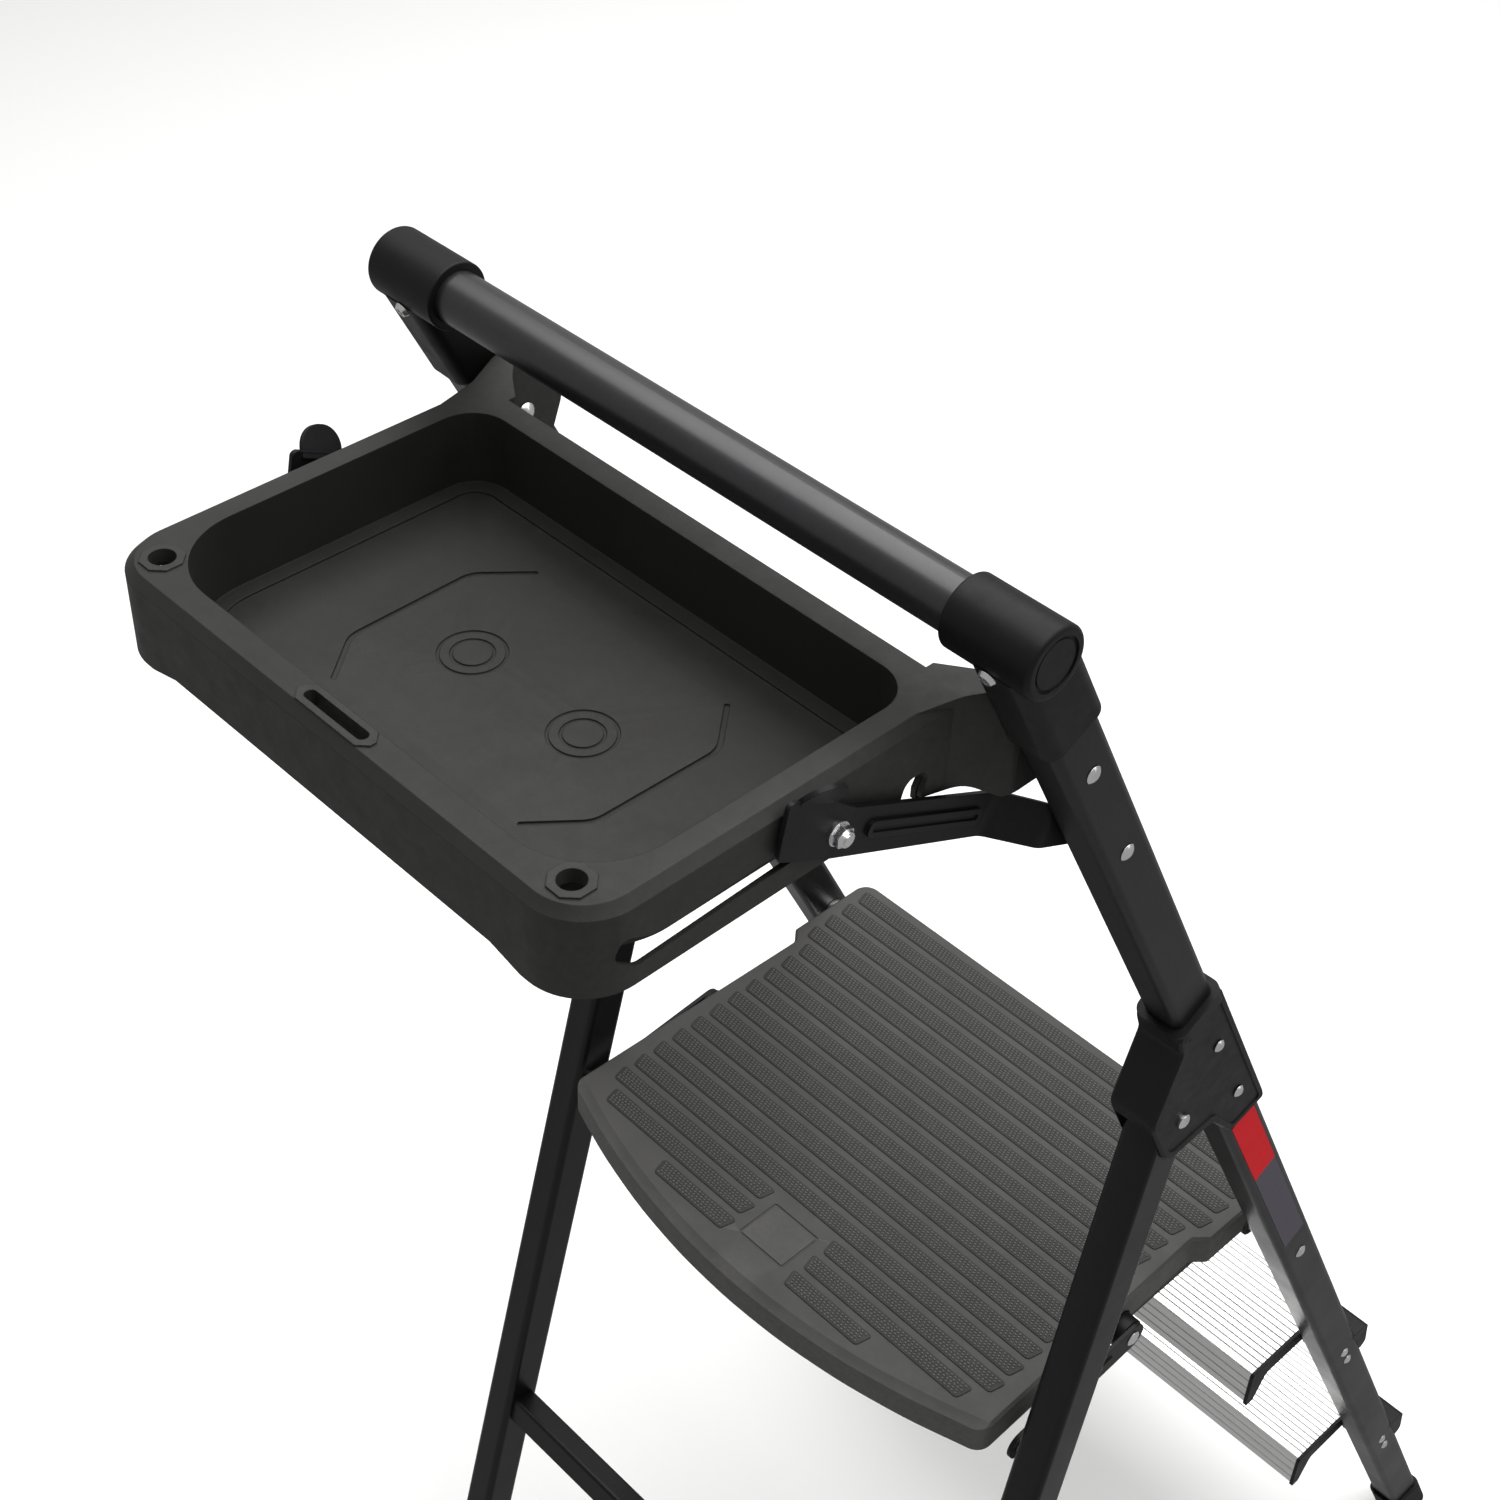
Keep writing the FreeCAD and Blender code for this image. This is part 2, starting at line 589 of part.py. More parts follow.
def platform_frame(side):
    """Side frame with bosses that carry the pivot pin and the link pin."""
    shape = platform_frame_blank(side)
    link = link_pin_point()
    x_in = side * (FRAME_X - 10 + FRAME_THICK / 2)
    boss = pin(x_in, side * PLAT_WIDE, PIVOT, 14)
    lug = pin(x_in, side * (LINK_X - LINK_T / 2 - GAP), link, 12)
    shape = shape.fuse([boss, lug])
    for centre in (PIVOT, link):
        shape = shape.cut(pin(side * 150, side * 250, centre, PIN_R + 0.05))
    return shape.removeSplitter()


def platform_crossbar(y):
    """Stiffening channel between the side frames, under the platform."""
    half = FRAME_X - 10 - FRAME_THICK / 2
    z = PLATFORM_Z - 19
    bar = box(-half, y - 12, z - 14, half, y + 12, z)
    return bar.cut(box(-half - 1, y - 10, z - 15, half + 1, y + 10, z - 2))


def platform_pin(side):
    """Pin from the main rail into the boss of the side frame."""
    x = rail_x_at(PIVOT[1])
    outer = side * (x + TUBE_W / 2 + HEAD_LIFT)
    shank = pin(outer, side * (FRAME_X - 16), PIVOT, PIN_R)
    washer = pin(side * (PLAT_WIDE + GAP), side * (x - TUBE_W / 2 - 0.6), PIVOT, 9)
    head = dome(outer, PIVOT, HEAD_R, RIVET_H, side)
    tail = dome(side * (FRAME_X - 10 - FRAME_THICK / 2 - GAP), PIVOT, RIVET_R + 1, RIVET_H + 0.6, -side)
    return shank.fuse([washer, head, tail]).removeSplitter()


# ---------------------------------------------------------------- links
LINK_X = 207.4            # middle of a link plate
LINK_T = 3.0
LINK_HALF = 11.0


def link_pin_point():
    """Link pin on the platform, level with the platform pivot."""
    return (PIVOT[0] + LINK_Q, PIVOT[1])


def link_stud_point():
    """Link stud on the inner face of the rear leg."""
    return on_leg(LINK_R)


def link_plate(side):
    start = Vector(0, *link_pin_point())
    end = Vector(0, *link_stud_point())
    along = (end - start).normalize()
    across = X_AXIS.cross(along)
    outline = []
    for p, run in ((start - along * LINK_HALF, 1), (end + along * LINK_HALF, -1)):
        for hand in (-run, run):
            q = p + across * (hand * LINK_HALF)
            outline.append((q.y, q.z, LINK_HALF - 0.5))
    x0 = side * (LINK_X - LINK_T / 2)
    x1 = side * (LINK_X + LINK_T / 2)
    shape = slab(outline, x0, x1)
    middle = start + (end - start) * 0.5
    rib = box(-1, -34, -3.2, 1, 34, 3.2)
    rib.rotate(Vector(0, 0, 0), X_AXIS, math.degrees(math.atan2(along.z, along.y)))
    rib.translate(Vector(side * (LINK_X + LINK_T / 2), middle.y, middle.z))
    shape = shape.fuse(rib)
    return shape.cut(pin(side * 200, side * 215, link_pin_point(), PIN_R + 0.05)).removeSplitter()


def link_pin(side):
    """Rivet of a link, fixed in the lug of the platform's side frame."""
    point = link_pin_point()
    shank = pin(side * (FRAME_X - 13), side * (LINK_X + LINK_T / 2 + 1.0), point, PIN_R)
    head = dome(side * (LINK_X + LINK_T / 2 + GAP), point, RIVET_R + 1.4, RIVET_H, side)
    tail = dome(side * (FRAME_X - 10 - FRAME_THICK / 2), point, RIVET_R + 1, RIVET_H, -side)
    return shank.fuse([head, tail]).removeSplitter()


def link_stud(side):
    """Headed stud on the rear leg that the free end of the link lies against."""
    point = link_stud_point()
    face = leg_x_at(point[1]) - TUBE_W / 2
    stud = pin(side * (LINK_X + LINK_T / 2 + GAP), side * (face + 1), point, 6)
    return stud.cut(leg_bar(side, TUBE_W, 200, 1, 0, BAR_LENGTH))


# ---------------------------------------------------------------- tray
TRAY_TOP = GRIP_Z - 53.0
TRAY_HALF = 175.0         # half width outside
TRAY_FRONT = GRIP_Y + 224.0
TRAY_BACK = GRIP_Y - 14.0
TRAY_SKIRT = 50.0         # depth of the outer skirt
TUB_HALF = 158.0
TUB_FRONT = GRIP_Y + 205.0
TUB_BACK = GRIP_Y + 5.0
TUB_DEPTH = 43.0
TRAY_WALL = 3.0
TRAY_FLOOR = 4.2          # thickness under the tub
PANEL_INSET = 9.0         # sunken floor panel, inside the tub walls
PANEL_DROP = 1.6
MARK_DEPTH = 1.2          # grooves in the floor panel
MARK_WIDTH = 2.8
EAR_X = 190.0             # outer face of a hinge ear
HOLE = (149.6, GRIP_Y + 204.0)
HOLE_R = 6.8
SLOT_Y = GRIP_Y + 212.5
SLOT_HALF = 22.0
MARK_RINGS = (41.0, GRIP_Y + 105.0, 17.0)


def tray_plan(inset):
    """Outer outline of the tray from above."""
    half = TRAY_HALF - inset
    back = TRAY_BACK + inset
    front = TRAY_FRONT - inset
    return [(-half, back, 6), (half, back, 6), (half, front, 32 - inset), (-half, front, 32 - inset)]


def tub_plan(grow):
    """Inner outline of the tub from above."""
    half = TUB_HALF + grow
    return [(-half, TUB_BACK - grow, 22 + grow), (half, TUB_BACK - grow, 22 + grow),
            (half, TUB_FRONT + grow, 45 + grow), (-half, TUB_FRONT + grow, 45 + grow)]


def octagon(cx, cy, half_x, half_y, cut):
    """(x, y, r) outline of a rectangle with cut corners."""
    return [(cx - half_x + cut, cy - half_y, 0), (cx + half_x - cut, cy - half_y, 0),
            (cx + half_x, cy - half_y + cut, 0), (cx + half_x, cy + half_y - cut, 0),
            (cx + half_x - cut, cy + half_y, 0), (cx - half_x + cut, cy + half_y, 0),
            (cx - half_x, cy + half_y - cut, 0), (cx - half_x, cy - half_y + cut, 0)]


def floor_mark(side):
    """Bracket-shaped groove in the tray floor: three straight runs with rounded bends."""
    z = TRAY_TOP - TUB_DEPTH - PANEL_DROP
    path = [Vector(side * x, GRIP_Y + y, 0) for x, y in ((69, 168), (91, 141), (92, 65), (70, 39))]
    runs = [(b - a).normalize() for a, b in zip(path, path[1:])]
    edges = {-1: [], 1: []}
    for i, point in enumerate(path):
        before = runs[max(i - 1, 0)]
        after = runs[min(i, len(runs) - 1)]
        tangent = (before + after).normalize()
        normal = Vector(-tangent.y, tangent.x, 0) * (MARK_WIDTH / 2 / before.dot(tangent))
        radius = 16 if 0 < i < len(path) - 1 else MARK_WIDTH * 0.4
        for hand in edges:
            edges[hand].append(((point + normal * hand).x, (point + normal * hand).y, radius))
    return plate(edges[-1] + edges[1][::-1], z - MARK_DEPTH, z + 1)


def skirt_cuts(side):
    """Long arm slot and the hook-shaped notch behind it, through one side skirt."""
    y = GRIP_Y
    z = GRIP_Z
    x0 = side * (TRAY_HALF - TRAY_WALL - 1)
    x1 = side * (TRAY_HALF + 1)
    slot = [(y + 62, z - 78, 4), (y + 180, z - 81, 30), (y + 198, z - 72, 5), (y + 203, z - 84, 6),
            (y + 190, z - 93, 8), (y + 62, z - 88, 4)]
    hook = [(y + 15, z - 120, 0), (y + 15, z - 100, 4), (y + 12, z - 92, 4), (y + 15, z - 86, 4),
            (y + 27, z - 86, 7), (y + 30, z - 96, 6), (y + 29, z - 120, 0)]
    return [slab(slot, x0, x1), slab(hook, side * (TRAY_HALF - 13), side * (TRAY_HALF + 2))]


def tray_ear(side):
    """Flared ear that carries the tray back to the hinge pin inside the rail."""
    y = GRIP_Y
    top = TRAY_TOP
    x_skirt = side * (TRAY_HALF - TRAY_WALL)
    x_ear = side * EAR_X
    outside = [(side * (TRAY_HALF - 5), y + 20, 0), (side * (TRAY_HALF + 1), y - 6, 30), (x_ear, y - 33, 20)]
    flare = outside + [(x_ear, y - 44, 0), (side * (EAR_X - 5), y - 44, 0), (side * (EAR_X - 5), y - 33, 14),
                       (x_skirt, y - 6, 24), (x_skirt - side * 5, y + 20, 0)]
    wing = plate(flare, top - TRAY_SKIRT - 16, top - 1)
    lobe = slab([(y + 20, top, 0), (y - 30, top, 22), (y - 76, top - 20, 18), (y - 76, top - 62, 18),
                 (y - 34, top - 70, 14), (y - 12, top - 55, 16), (y + 20, top - 53, 0)],
                side * (TRAY_HALF - 20), side * (EAR_X + 1))
    wing = wing.common(lobe)
    cheek = slab([(y - 34, top - 4, 4), (y - 62, top - 16, 16), (y - 76, top - 38, 14),
                  (y - 66, top - 66, 12), (y - 34, top - 66, 4)], side * (EAR_X - 5), x_ear)
    cover = plate([(side * 150, y - 14, 0), (side * 150, y + 20, 0)] + outside +
                  [(side * (EAR_X - 1), y - 46, 2), (side * (TRAY_HALF - 8), y - 26, 16)],
                  top - TRAY_WALL, top)
    boss = pin(side * (EAR_X - 5), side * (EAR_X + 2), TRAY_HINGE, 10)
    return wing.fuse([cheek, cover, boss])


def tray_shell():
    top = TRAY_TOP
    bottom = top - TRAY_SKIRT
    outer = plate(tray_plan(0), bottom, top)
    rim = [e for e in outer.Edges if abs(e.BoundBox.ZMin - top) < 0.01
           and e.BoundBox.Center.y > TRAY_BACK + 3]
    outer = outer.makeChamfer(5.0, rim)
    under = plate(tray_plan(TRAY_WALL), bottom - 1, top - TRAY_WALL - 4)
    tub = plate(tub_plan(TRAY_WALL), top - TUB_DEPTH - TRAY_FLOOR, top)
    shell = outer.cut(under).fuse(tub)
    shell = shell.fuse([tray_ear(side) for _, side in SIDES])
    shell = shell.cut(plate(tub_plan(0), top - TUB_DEPTH, top + 1))
    shell = shell.cut(plate(tub_plan(-PANEL_INSET), top - TUB_DEPTH - PANEL_DROP, top))
    cuts = []
    raised = []
    for _, side in SIDES:
        x = side * HOLE[0]
        raised.append(plate(octagon(x, HOLE[1], 10.5, 10.5, 6.0), top - 3, top + 1.0))
        cuts.append(Part.makeCylinder(HOLE_R, 30, Vector(x, HOLE[1], top - 20)))
        cuts += skirt_cuts(side)
        cuts.append(floor_mark(side))
        ring_x, ring_y, ring_r = MARK_RINGS
        centre = Vector(side * ring_x, ring_y, top - TUB_DEPTH - PANEL_DROP - 0.8)
        for radius in (ring_r, ring_r * 0.62):
            ring = Part.makeCylinder(radius + 0.8, 3, centre)
            cuts.append(ring.cut(Part.makeCylinder(radius - 0.8, 3, centre)))
        cuts.append(pin(side * 170, side * 200, TRAY_HINGE, PIN_R + 0.05))
    raised.append(plate(octagon(0, SLOT_Y, SLOT_HALF + 5, 6.6, 5), top - 8, top + 1.0))
    cuts.append(plate(rectangle(-SLOT_HALF, SLOT_Y - 3.2, SLOT_HALF, SLOT_Y + 3.2, 3),
                      top - 30, top + 2))
    rise = [Vector(x, TRAY_FRONT - 8, bottom + z) for x, z in ((-142, -1), (-118, 5), (118, 5), (142, -1))]
    cuts.append(Part.Face(Part.makePolygon(rise + rise[:1])).extrude(Vector(0, 20, 0)))
    shell = shell.fuse(raised).cut(cuts)
    return shell.removeSplitter()


def tray_pin(side):
    """Hinge pin from the main rail into the ear of the tray."""
    x = rail_x_at(TRAY_HINGE[1])
    outer = side * (x + TUBE_W / 2 + HEAD_LIFT)
    shank = pin(outer, side * (EAR_X - 7), TRAY_HINGE, PIN_R)
    head = dome(outer, TRAY_HINGE, HEAD_R, RIVET_H, side)
    tail = dome(side * (EAR_X - 5 - GAP), TRAY_HINGE, RIVET_R + 1.6, RIVET_H + 1, -side)
    washer = pin(side * (EAR_X + 2 + GAP), side * (x - TUBE_W / 2 - 0.4), TRAY_HINGE, 8)
    return shank.fuse([head, tail, washer]).removeSplitter()


# ---------------------------------------------------------------- support arms
ARM_T = 2.6
BOLT_R = 3.0
ARM_X = TRAY_HALF + 2.4 + ARM_T / 2      # middle of the blade beside the tray
ARM_ROOT_X = rail_x_at(ARM_PIVOT[1]) - TUBE_W / 2 - 3.2
BEND = (34.0, 62.0)       # where the arm steps inwards from the rail to the tray


def arm_plan(offset, side):
    """Bent centre strip of the arm seen from above: (distance along it, x)."""
    s0, s1 = BEND
    return [(-14, side * (ARM_ROOT_X + offset)), (s0, side * (ARM_ROOT_X + offset)),
            (s1, side * (ARM_X + offset)), (240, side * (ARM_X + offset))]


def support_arm(side):
    """Stamped arm: a bent strip cut to its side outline, with a rib and a thumb tab."""
    inner = arm_plan(-ARM_T / 2, side)
    outer = arm_plan(ARM_T / 2, side)
    ring = [(x, s, 14 if s in BEND else 0) for s, x in inner + outer[::-1]]
    strip_solid = plate(ring, -40, 50)
    outline = [(-12, -11, 10), (-12, 11, 10), (40, 12.5, 30), (176, 12.5, 20), (196, 18, 6), (225, 18, 3),
               (217, -12, 4), (185, -13.5, 20), (40, -11.5, 30)]
    shape = strip_solid.common(slab([(s, n, r) for s, n, r in outline], -300, 300))
    tab = slab([(192, 14, 0), (218, 14, 0), (218, 32, 12), (192, 32, 12)],
               side * (ARM_X - ARM_T / 2), side * (ARM_X + ARM_T / 2))
    tab.rotate(Vector(side * ARM_X, 0, 17), Y_AXIS, side * 32)
    rib = slab(rectangle(70, -4, 160, 5, 4), side * (ARM_X + ARM_T / 2 - 0.2), side * (ARM_X + 3.0))
    dent = slab(rectangle(73, -1, 157, 2, 1.4), side * (ARM_X + 2.0), side * (ARM_X + 4.0))
    shape = shape.fuse([tab, rib]).cut(dent)
    shape = shape.cut(pin(side * 150, side * 230, (0, 0), PIN_R + 0.05))
    shape = shape.cut(pin(side * 150, side * 230, (ARM_LENGTH, 0), BOLT_R))
    return arm_to_place(shape).removeSplitter()


def arm_to_place(shape):
    """Carry a piece drawn along Y from the arm pivot to the arm's open position."""
    moved = shape.copy()
    moved.rotate(Vector(0, 0, 0), X_AXIS, ARM_RISE)
    moved.translate(Vector(0, *ARM_PIVOT))
    return moved


def hexagon(x0, x1, centre, across):
    """Hexagonal nut blank along X."""
    radius = across / math.sqrt(3)
    points = [Vector(min(x0, x1), centre[0] + radius * math.cos(math.radians(60 * k)),
                     centre[1] + radius * math.sin(math.radians(60 * k))) for k in range(6)]
    return Part.Face(Part.makePolygon(points + points[:1])).extrude(Vector(abs(x1 - x0), 0, 0))


def arm_bolt(side):
    """Bolt through the free end of the arm."""
    x_in = ARM_X - ARM_T / 2
    shank = pin(side * x_in, side * (ARM_X + 8.5), (ARM_LENGTH, 0), BOLT_R)
    return arm_to_place(shank.fuse(pin(side * (x_in - 1.4), side * x_in, (ARM_LENGTH, 0), 5.5)))


def arm_nut(side):
    """Lock nut with its nylon collar and washer, on the outside of the arm."""
    face = ARM_X + ARM_T / 2
    centre = (ARM_LENGTH, 0)
    washer = pin(side * face, side * (face + 1.0), centre, 6.5)
    body = hexagon(side * (face + 1.0), side * (face + 5), centre, 10.0)
    crown = Part.makeCone(4.9, 4.0, 1.6, Vector(side * (face + 5), *centre), X_AXIS * side)
    bore = pin(side * (face - 1), side * (face + 12), centre, BOLT_R)
    return arm_to_place(washer.fuse([body, crown]).cut(bore))


def arm_pin(side):
    """Rivet from the main rail through the root of the arm."""
    x = rail_x_at(ARM_PIVOT[1])
    outer = side * (x + TUBE_W / 2 + HEAD_LIFT)
    shank = pin(outer, side * (ARM_ROOT_X - ARM_T / 2 - 1), ARM_PIVOT, PIN_R)
    head = dome(outer, ARM_PIVOT, HEAD_R, RIVET_H, side)
    tail = dome(side * (ARM_ROOT_X - ARM_T / 2 - GAP), ARM_PIVOT, RIVET_R + 1, RIVET_H, -side)
    return shank.fuse([head, tail]).removeSplitter()


def main():
    for name, side in SIDES:
        write("main_rail_" + name, rail_tube(side))
        write("rail_foot_" + name, rail_foot(side))
        write("grip_socket_" + name, grip_cap(side))
        write("knuckle_" + name, knuckle(side))
        write("rear_leg_" + name, rear_leg(side))
        write("leg_foot_" + name, leg_foot(side))
        write("platform_frame_" + name, platform_frame(side))
        write("link_plate_" + name, link_plate(side))
        write("tray_arm_" + name, support_arm(side))
    write("handrail_tube", handrail_tube())
    write("socket_screws", *(cap_screw(side) for _, side in SIDES))
    for number, z in ((1, STEP_RISE), (2, 2 * STEP_RISE)):
        write("step_%d_tread" % number, step_tread(z))
        for name, side in SIDES:
            write("step_%d_end_%s" % (number, name), step_cap(side, z))
        rivets = [head for _, side in SIDES for drop in (10, 26)
                  for head in rail_rivet(side, (GRIP_Z - z + drop) / COS_R, 0)[:1]]
        write("step_%d_rivets" % number, *rivets)
    write("knuckle_rivets", *(head for _, side in SIDES for u in (431, 500)
                              for head in rail_rivet(side, u, -3, KNUCKLE_WALL)))
    write("label_red", label(-1, 541, 632))
    write("label_grey", label(-1, 632, 765))
    for name, s in LEG_BARS:
        write(name, rear_crossbar(s))
    write("crossbar_rivets", *(head for _, s in LEG_BARS for head in crossbar_rivets(s)))
    write("knee_pins", *(knee_pin(side) for _, side in SIDES))
    write("platform_top", platform_top())
    write("platform_crossbar_back", platform_crossbar(PLAT_BACK + 58))
    write("platform_crossbar_front", platform_crossbar(PLAT_BACK + 235))
    write("platform_pins", *(platform_pin(side) for _, side in SIDES))
    write("link_pins", *(link_pin(side) for _, side in SIDES))
    write("link_studs", *(link_stud(side) for _, side in SIDES))
    write("tray_shell", tray_shell())
    write("tray_pins", *(tray_pin(side) for _, side in SIDES))
    write("arm_bolts", *(arm_bolt(side) for _, side in SIDES))
    write("arm_nuts", *(arm_nut(side) for _, side in SIDES))
    write("arm_pins", *(arm_pin(side) for _, side in SIDES))


main()
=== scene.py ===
import json
import math

import bmesh
import bpy
from mathutils import Matrix, Vector


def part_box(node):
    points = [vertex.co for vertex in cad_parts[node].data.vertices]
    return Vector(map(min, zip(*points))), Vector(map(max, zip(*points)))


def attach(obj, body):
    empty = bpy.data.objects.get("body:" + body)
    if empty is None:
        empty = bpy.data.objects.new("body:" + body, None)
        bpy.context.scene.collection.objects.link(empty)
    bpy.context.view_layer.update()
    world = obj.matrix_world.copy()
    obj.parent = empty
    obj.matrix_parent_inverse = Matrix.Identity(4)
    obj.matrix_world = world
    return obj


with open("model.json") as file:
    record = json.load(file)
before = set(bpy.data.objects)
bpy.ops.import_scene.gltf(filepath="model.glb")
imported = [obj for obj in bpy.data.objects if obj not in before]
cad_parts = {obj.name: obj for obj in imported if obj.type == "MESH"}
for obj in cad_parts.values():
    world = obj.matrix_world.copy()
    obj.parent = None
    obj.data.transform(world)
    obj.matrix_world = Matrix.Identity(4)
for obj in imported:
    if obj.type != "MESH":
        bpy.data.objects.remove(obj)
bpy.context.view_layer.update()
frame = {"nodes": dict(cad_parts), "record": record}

# ------------------------------------------------------------------ camera
# The camera looks at the handrail from the tray side, above and to the right.
LENS_MM = 58.0
SENSOR_MM = 36.0
AZIMUTH = 224.6
ELEVATION = 40.5
ROLL = 2.4
DISTANCE = 1.149                 # from the handrail's middle, along the view
OFFSET = (-0.0280, 0.1472)       # of the handrail's middle from the view's middle


def middle(node):
    low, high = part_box(node)
    return (low + high) / 2


def add_camera():
    """Camera aimed by angles, with the handrail's middle off the view's middle."""
    a = math.radians(AZIMUTH)
    e = math.radians(ELEVATION)
    back = Vector((math.sin(a) * math.cos(e), -math.cos(a) * math.cos(e), math.sin(e)))
    right = Vector((0, 0, 1)).cross(back).normalized()
    up = back.cross(right)
    turn = math.radians(ROLL)
    right, up = (right * math.cos(turn) + up * math.sin(turn),
                 up * math.cos(turn) - right * math.sin(turn))
    place = middle("handrail_tube") - right * OFFSET[0] - up * OFFSET[1] + back * DISTANCE
    data = bpy.data.cameras.new("camera")
    data.lens = LENS_MM
    data.sensor_width = SENSOR_MM
    data.clip_end = 100
    camera = bpy.data.objects.new("camera", data)
    axes = Matrix((right, up, back)).transposed().to_4x4()
    camera.matrix_world = Matrix.Translation(place) @ axes
    bpy.context.scene.collection.objects.link(camera)
    bpy.context.scene.camera = camera


# ------------------------------------------------------------------ studio
WORLD_STRENGTH = 0.38
FLOOR_SIZE = 30
FLOOR_DROP = 0.0005              # below the feet, so that the two faces don't share a plane
FLOOR_COLOUR = (0.93, 0.93, 0.92, 1)
FLOOR_ROUGHNESS = 0.9
OVERHEAD_AHEAD = 1.4             # the overhead box stands this far towards -Y from the handrail
OVERHEAD_RISE = 2.6
OVERHEAD_SIZE = (5.0, 5.0)
OVERHEAD_POWER = 270
SIDE_SHIFT = (-2.4, -1.6, 1.2)   # of the side box from the handrail
SIDE_SIZE = (0.6, 1.6)
SIDE_POWER = 5


def add_light(name, place, aim, size, power):
    data = bpy.data.lights.new(name, "AREA")
    data.shape = "RECTANGLE"
    data.size, data.size_y = size
    data.energy = power
    light = bpy.data.objects.new(name, data)
    light.location = place
    light.rotation_euler = (Vector(place) - Vector(aim)).to_track_quat("Z", "Y").to_euler()
    bpy.context.scene.collection.objects.link(light)


def add_studio():
    """Pale floor, dim even surroundings and two soft boxes, with plain colour handling."""
    bpy.context.scene.view_settings.view_transform = "Standard"
    world = bpy.data.worlds.new("studio")
    world.use_nodes = True
    world.node_tree.nodes["Background"].inputs["Color"].default_value = (1.0, 1.0, 1.0, 1)
    world.node_tree.nodes["Background"].inputs["Strength"].default_value = WORLD_STRENGTH
    bpy.context.scene.world = world
    bpy.ops.mesh.primitive_plane_add(size=FLOOR_SIZE, location=(0, 0, -FLOOR_DROP))
    floor = bpy.context.object
    floor.name = "floor"
    material, nodes, links = new_material("floor")
    shader = nodes["Principled BSDF"]
    shader.inputs["Base Color"].default_value = FLOOR_COLOUR
    shader.inputs["Roughness"].default_value = FLOOR_ROUGHNESS
    floor.data.materials.append(material)
    # The floor still lights the object, but the object's gloss shows the surroundings in its place.
    floor.visible_glossy = False
    top = middle("handrail_tube")
    above = Vector((top.x, top.y - OVERHEAD_AHEAD, top.z + OVERHEAD_RISE))
    add_light("overhead", above, (above.x, above.y, 0), OVERHEAD_SIZE, OVERHEAD_POWER)
    add_light("side", top + Vector(SIDE_SHIFT), top, SIDE_SIZE, SIDE_POWER)


# ------------------------------------------------------------------ materials
PAINTED_SHADE_DROP = 0.0004         # below the strips' tops, where the painted shade on them starts


def new_material(name):
    material = bpy.data.materials.new(name)
    material.use_nodes = True
    return material, material.node_tree.nodes, material.node_tree.links


def object_coordinates(nodes, links, stretch=(1, 1, 1)):
    coordinates = nodes.new("ShaderNodeTexCoord")
    mapping = nodes.new("ShaderNodeMapping")
    mapping.inputs["Scale"].default_value = stretch
    links.new(coordinates.outputs["Object"], mapping.inputs["Vector"])
    return mapping.outputs["Vector"]


def noise(nodes, links, vector, scale, detail=3.0, roughness=0.55):
    texture = nodes.new("ShaderNodeTexNoise")
    texture.inputs["Scale"].default_value = scale
    texture.inputs["Detail"].default_value = detail
    texture.inputs["Roughness"].default_value = roughness
    links.new(vector, texture.inputs["Vector"])
    return texture.outputs["Fac"]


def ramp(nodes, links, source, low, high, start, end):
    """Map a 0..1 source, between start and end, onto grey or colour values."""
    node = nodes.new("ShaderNodeValToRGB")
    node.color_ramp.elements[0].position = start
    node.color_ramp.elements[1].position = end
    node.color_ramp.elements[0].color = (*low, 1)
    node.color_ramp.elements[1].color = (*high, 1)
    links.new(source, node.inputs["Fac"])
    return node.outputs["Color"]


def grey(value):
    return (value, value, value)


def bump_chain(nodes, links, heights, edge_radius):
    """Bump nodes in a row over rounded-edge normals; heights are (source, metres)."""
    bevel = nodes.new("ShaderNodeBevel")
    bevel.samples = 4
    bevel.inputs["Radius"].default_value = edge_radius
    normal = bevel.outputs["Normal"]
    for source, depth in heights:
        bump = nodes.new("ShaderNodeBump")
        bump.inputs["Strength"].default_value = 1.0
        bump.inputs["Distance"].default_value = depth
        links.new(source, bump.inputs["Height"])
        links.new(normal, bump.inputs["Normal"])
        normal = bump.outputs["Normal"]
    return normal


def tint(colour, share):
    """A colour made darker or lighter by a share."""
    return tuple(min(1, c * share) for c in colour)


def blend_colour(nodes, links, factor, base, colour):
    """Mix a linked colour towards a fixed one by a 0..1 factor."""
    mix = nodes.new("ShaderNodeMix")
    mix.data_type = "RGBA"
    mix.inputs["B"].default_value = (*colour, 1)
    links.new(factor, mix.inputs["Factor"])
    links.new(base, mix.inputs["A"])
    return mix.outputs["Result"]


def height_mask(nodes, links, height):
    """1 where the surface stands above a height in the object's own frame, else 0."""
    coordinates = nodes.new("ShaderNodeTexCoord")
    split = nodes.new("ShaderNodeSeparateXYZ")
    links.new(coordinates.outputs["Object"], split.inputs["Vector"])
    above = nodes.new("ShaderNodeMath")
    above.operation = "GREATER_THAN"
    above.inputs[1].default_value = height
    links.new(split.outputs["Z"], above.inputs[0])
    return above.outputs["Value"]


def edge_wear_and_highlight(nodes, links, vector):
    """0..1, high on sharp edges and broken up by noise, for rubbed wear and painted highlight on edges.
    """
    geometry = nodes.new("ShaderNodeNewGeometry")
    spots = noise(nodes, links, vector, 260, 4)
    edges = ramp(nodes, links, geometry.outputs["Pointiness"], grey(0), grey(1), 0.52, 0.60)
    product = nodes.new("ShaderNodeMath")
    product.operation = "MULTIPLY"
    links.new(edges, product.inputs[0])
    links.new(spots, product.inputs[1])
    return product.outputs["Value"]


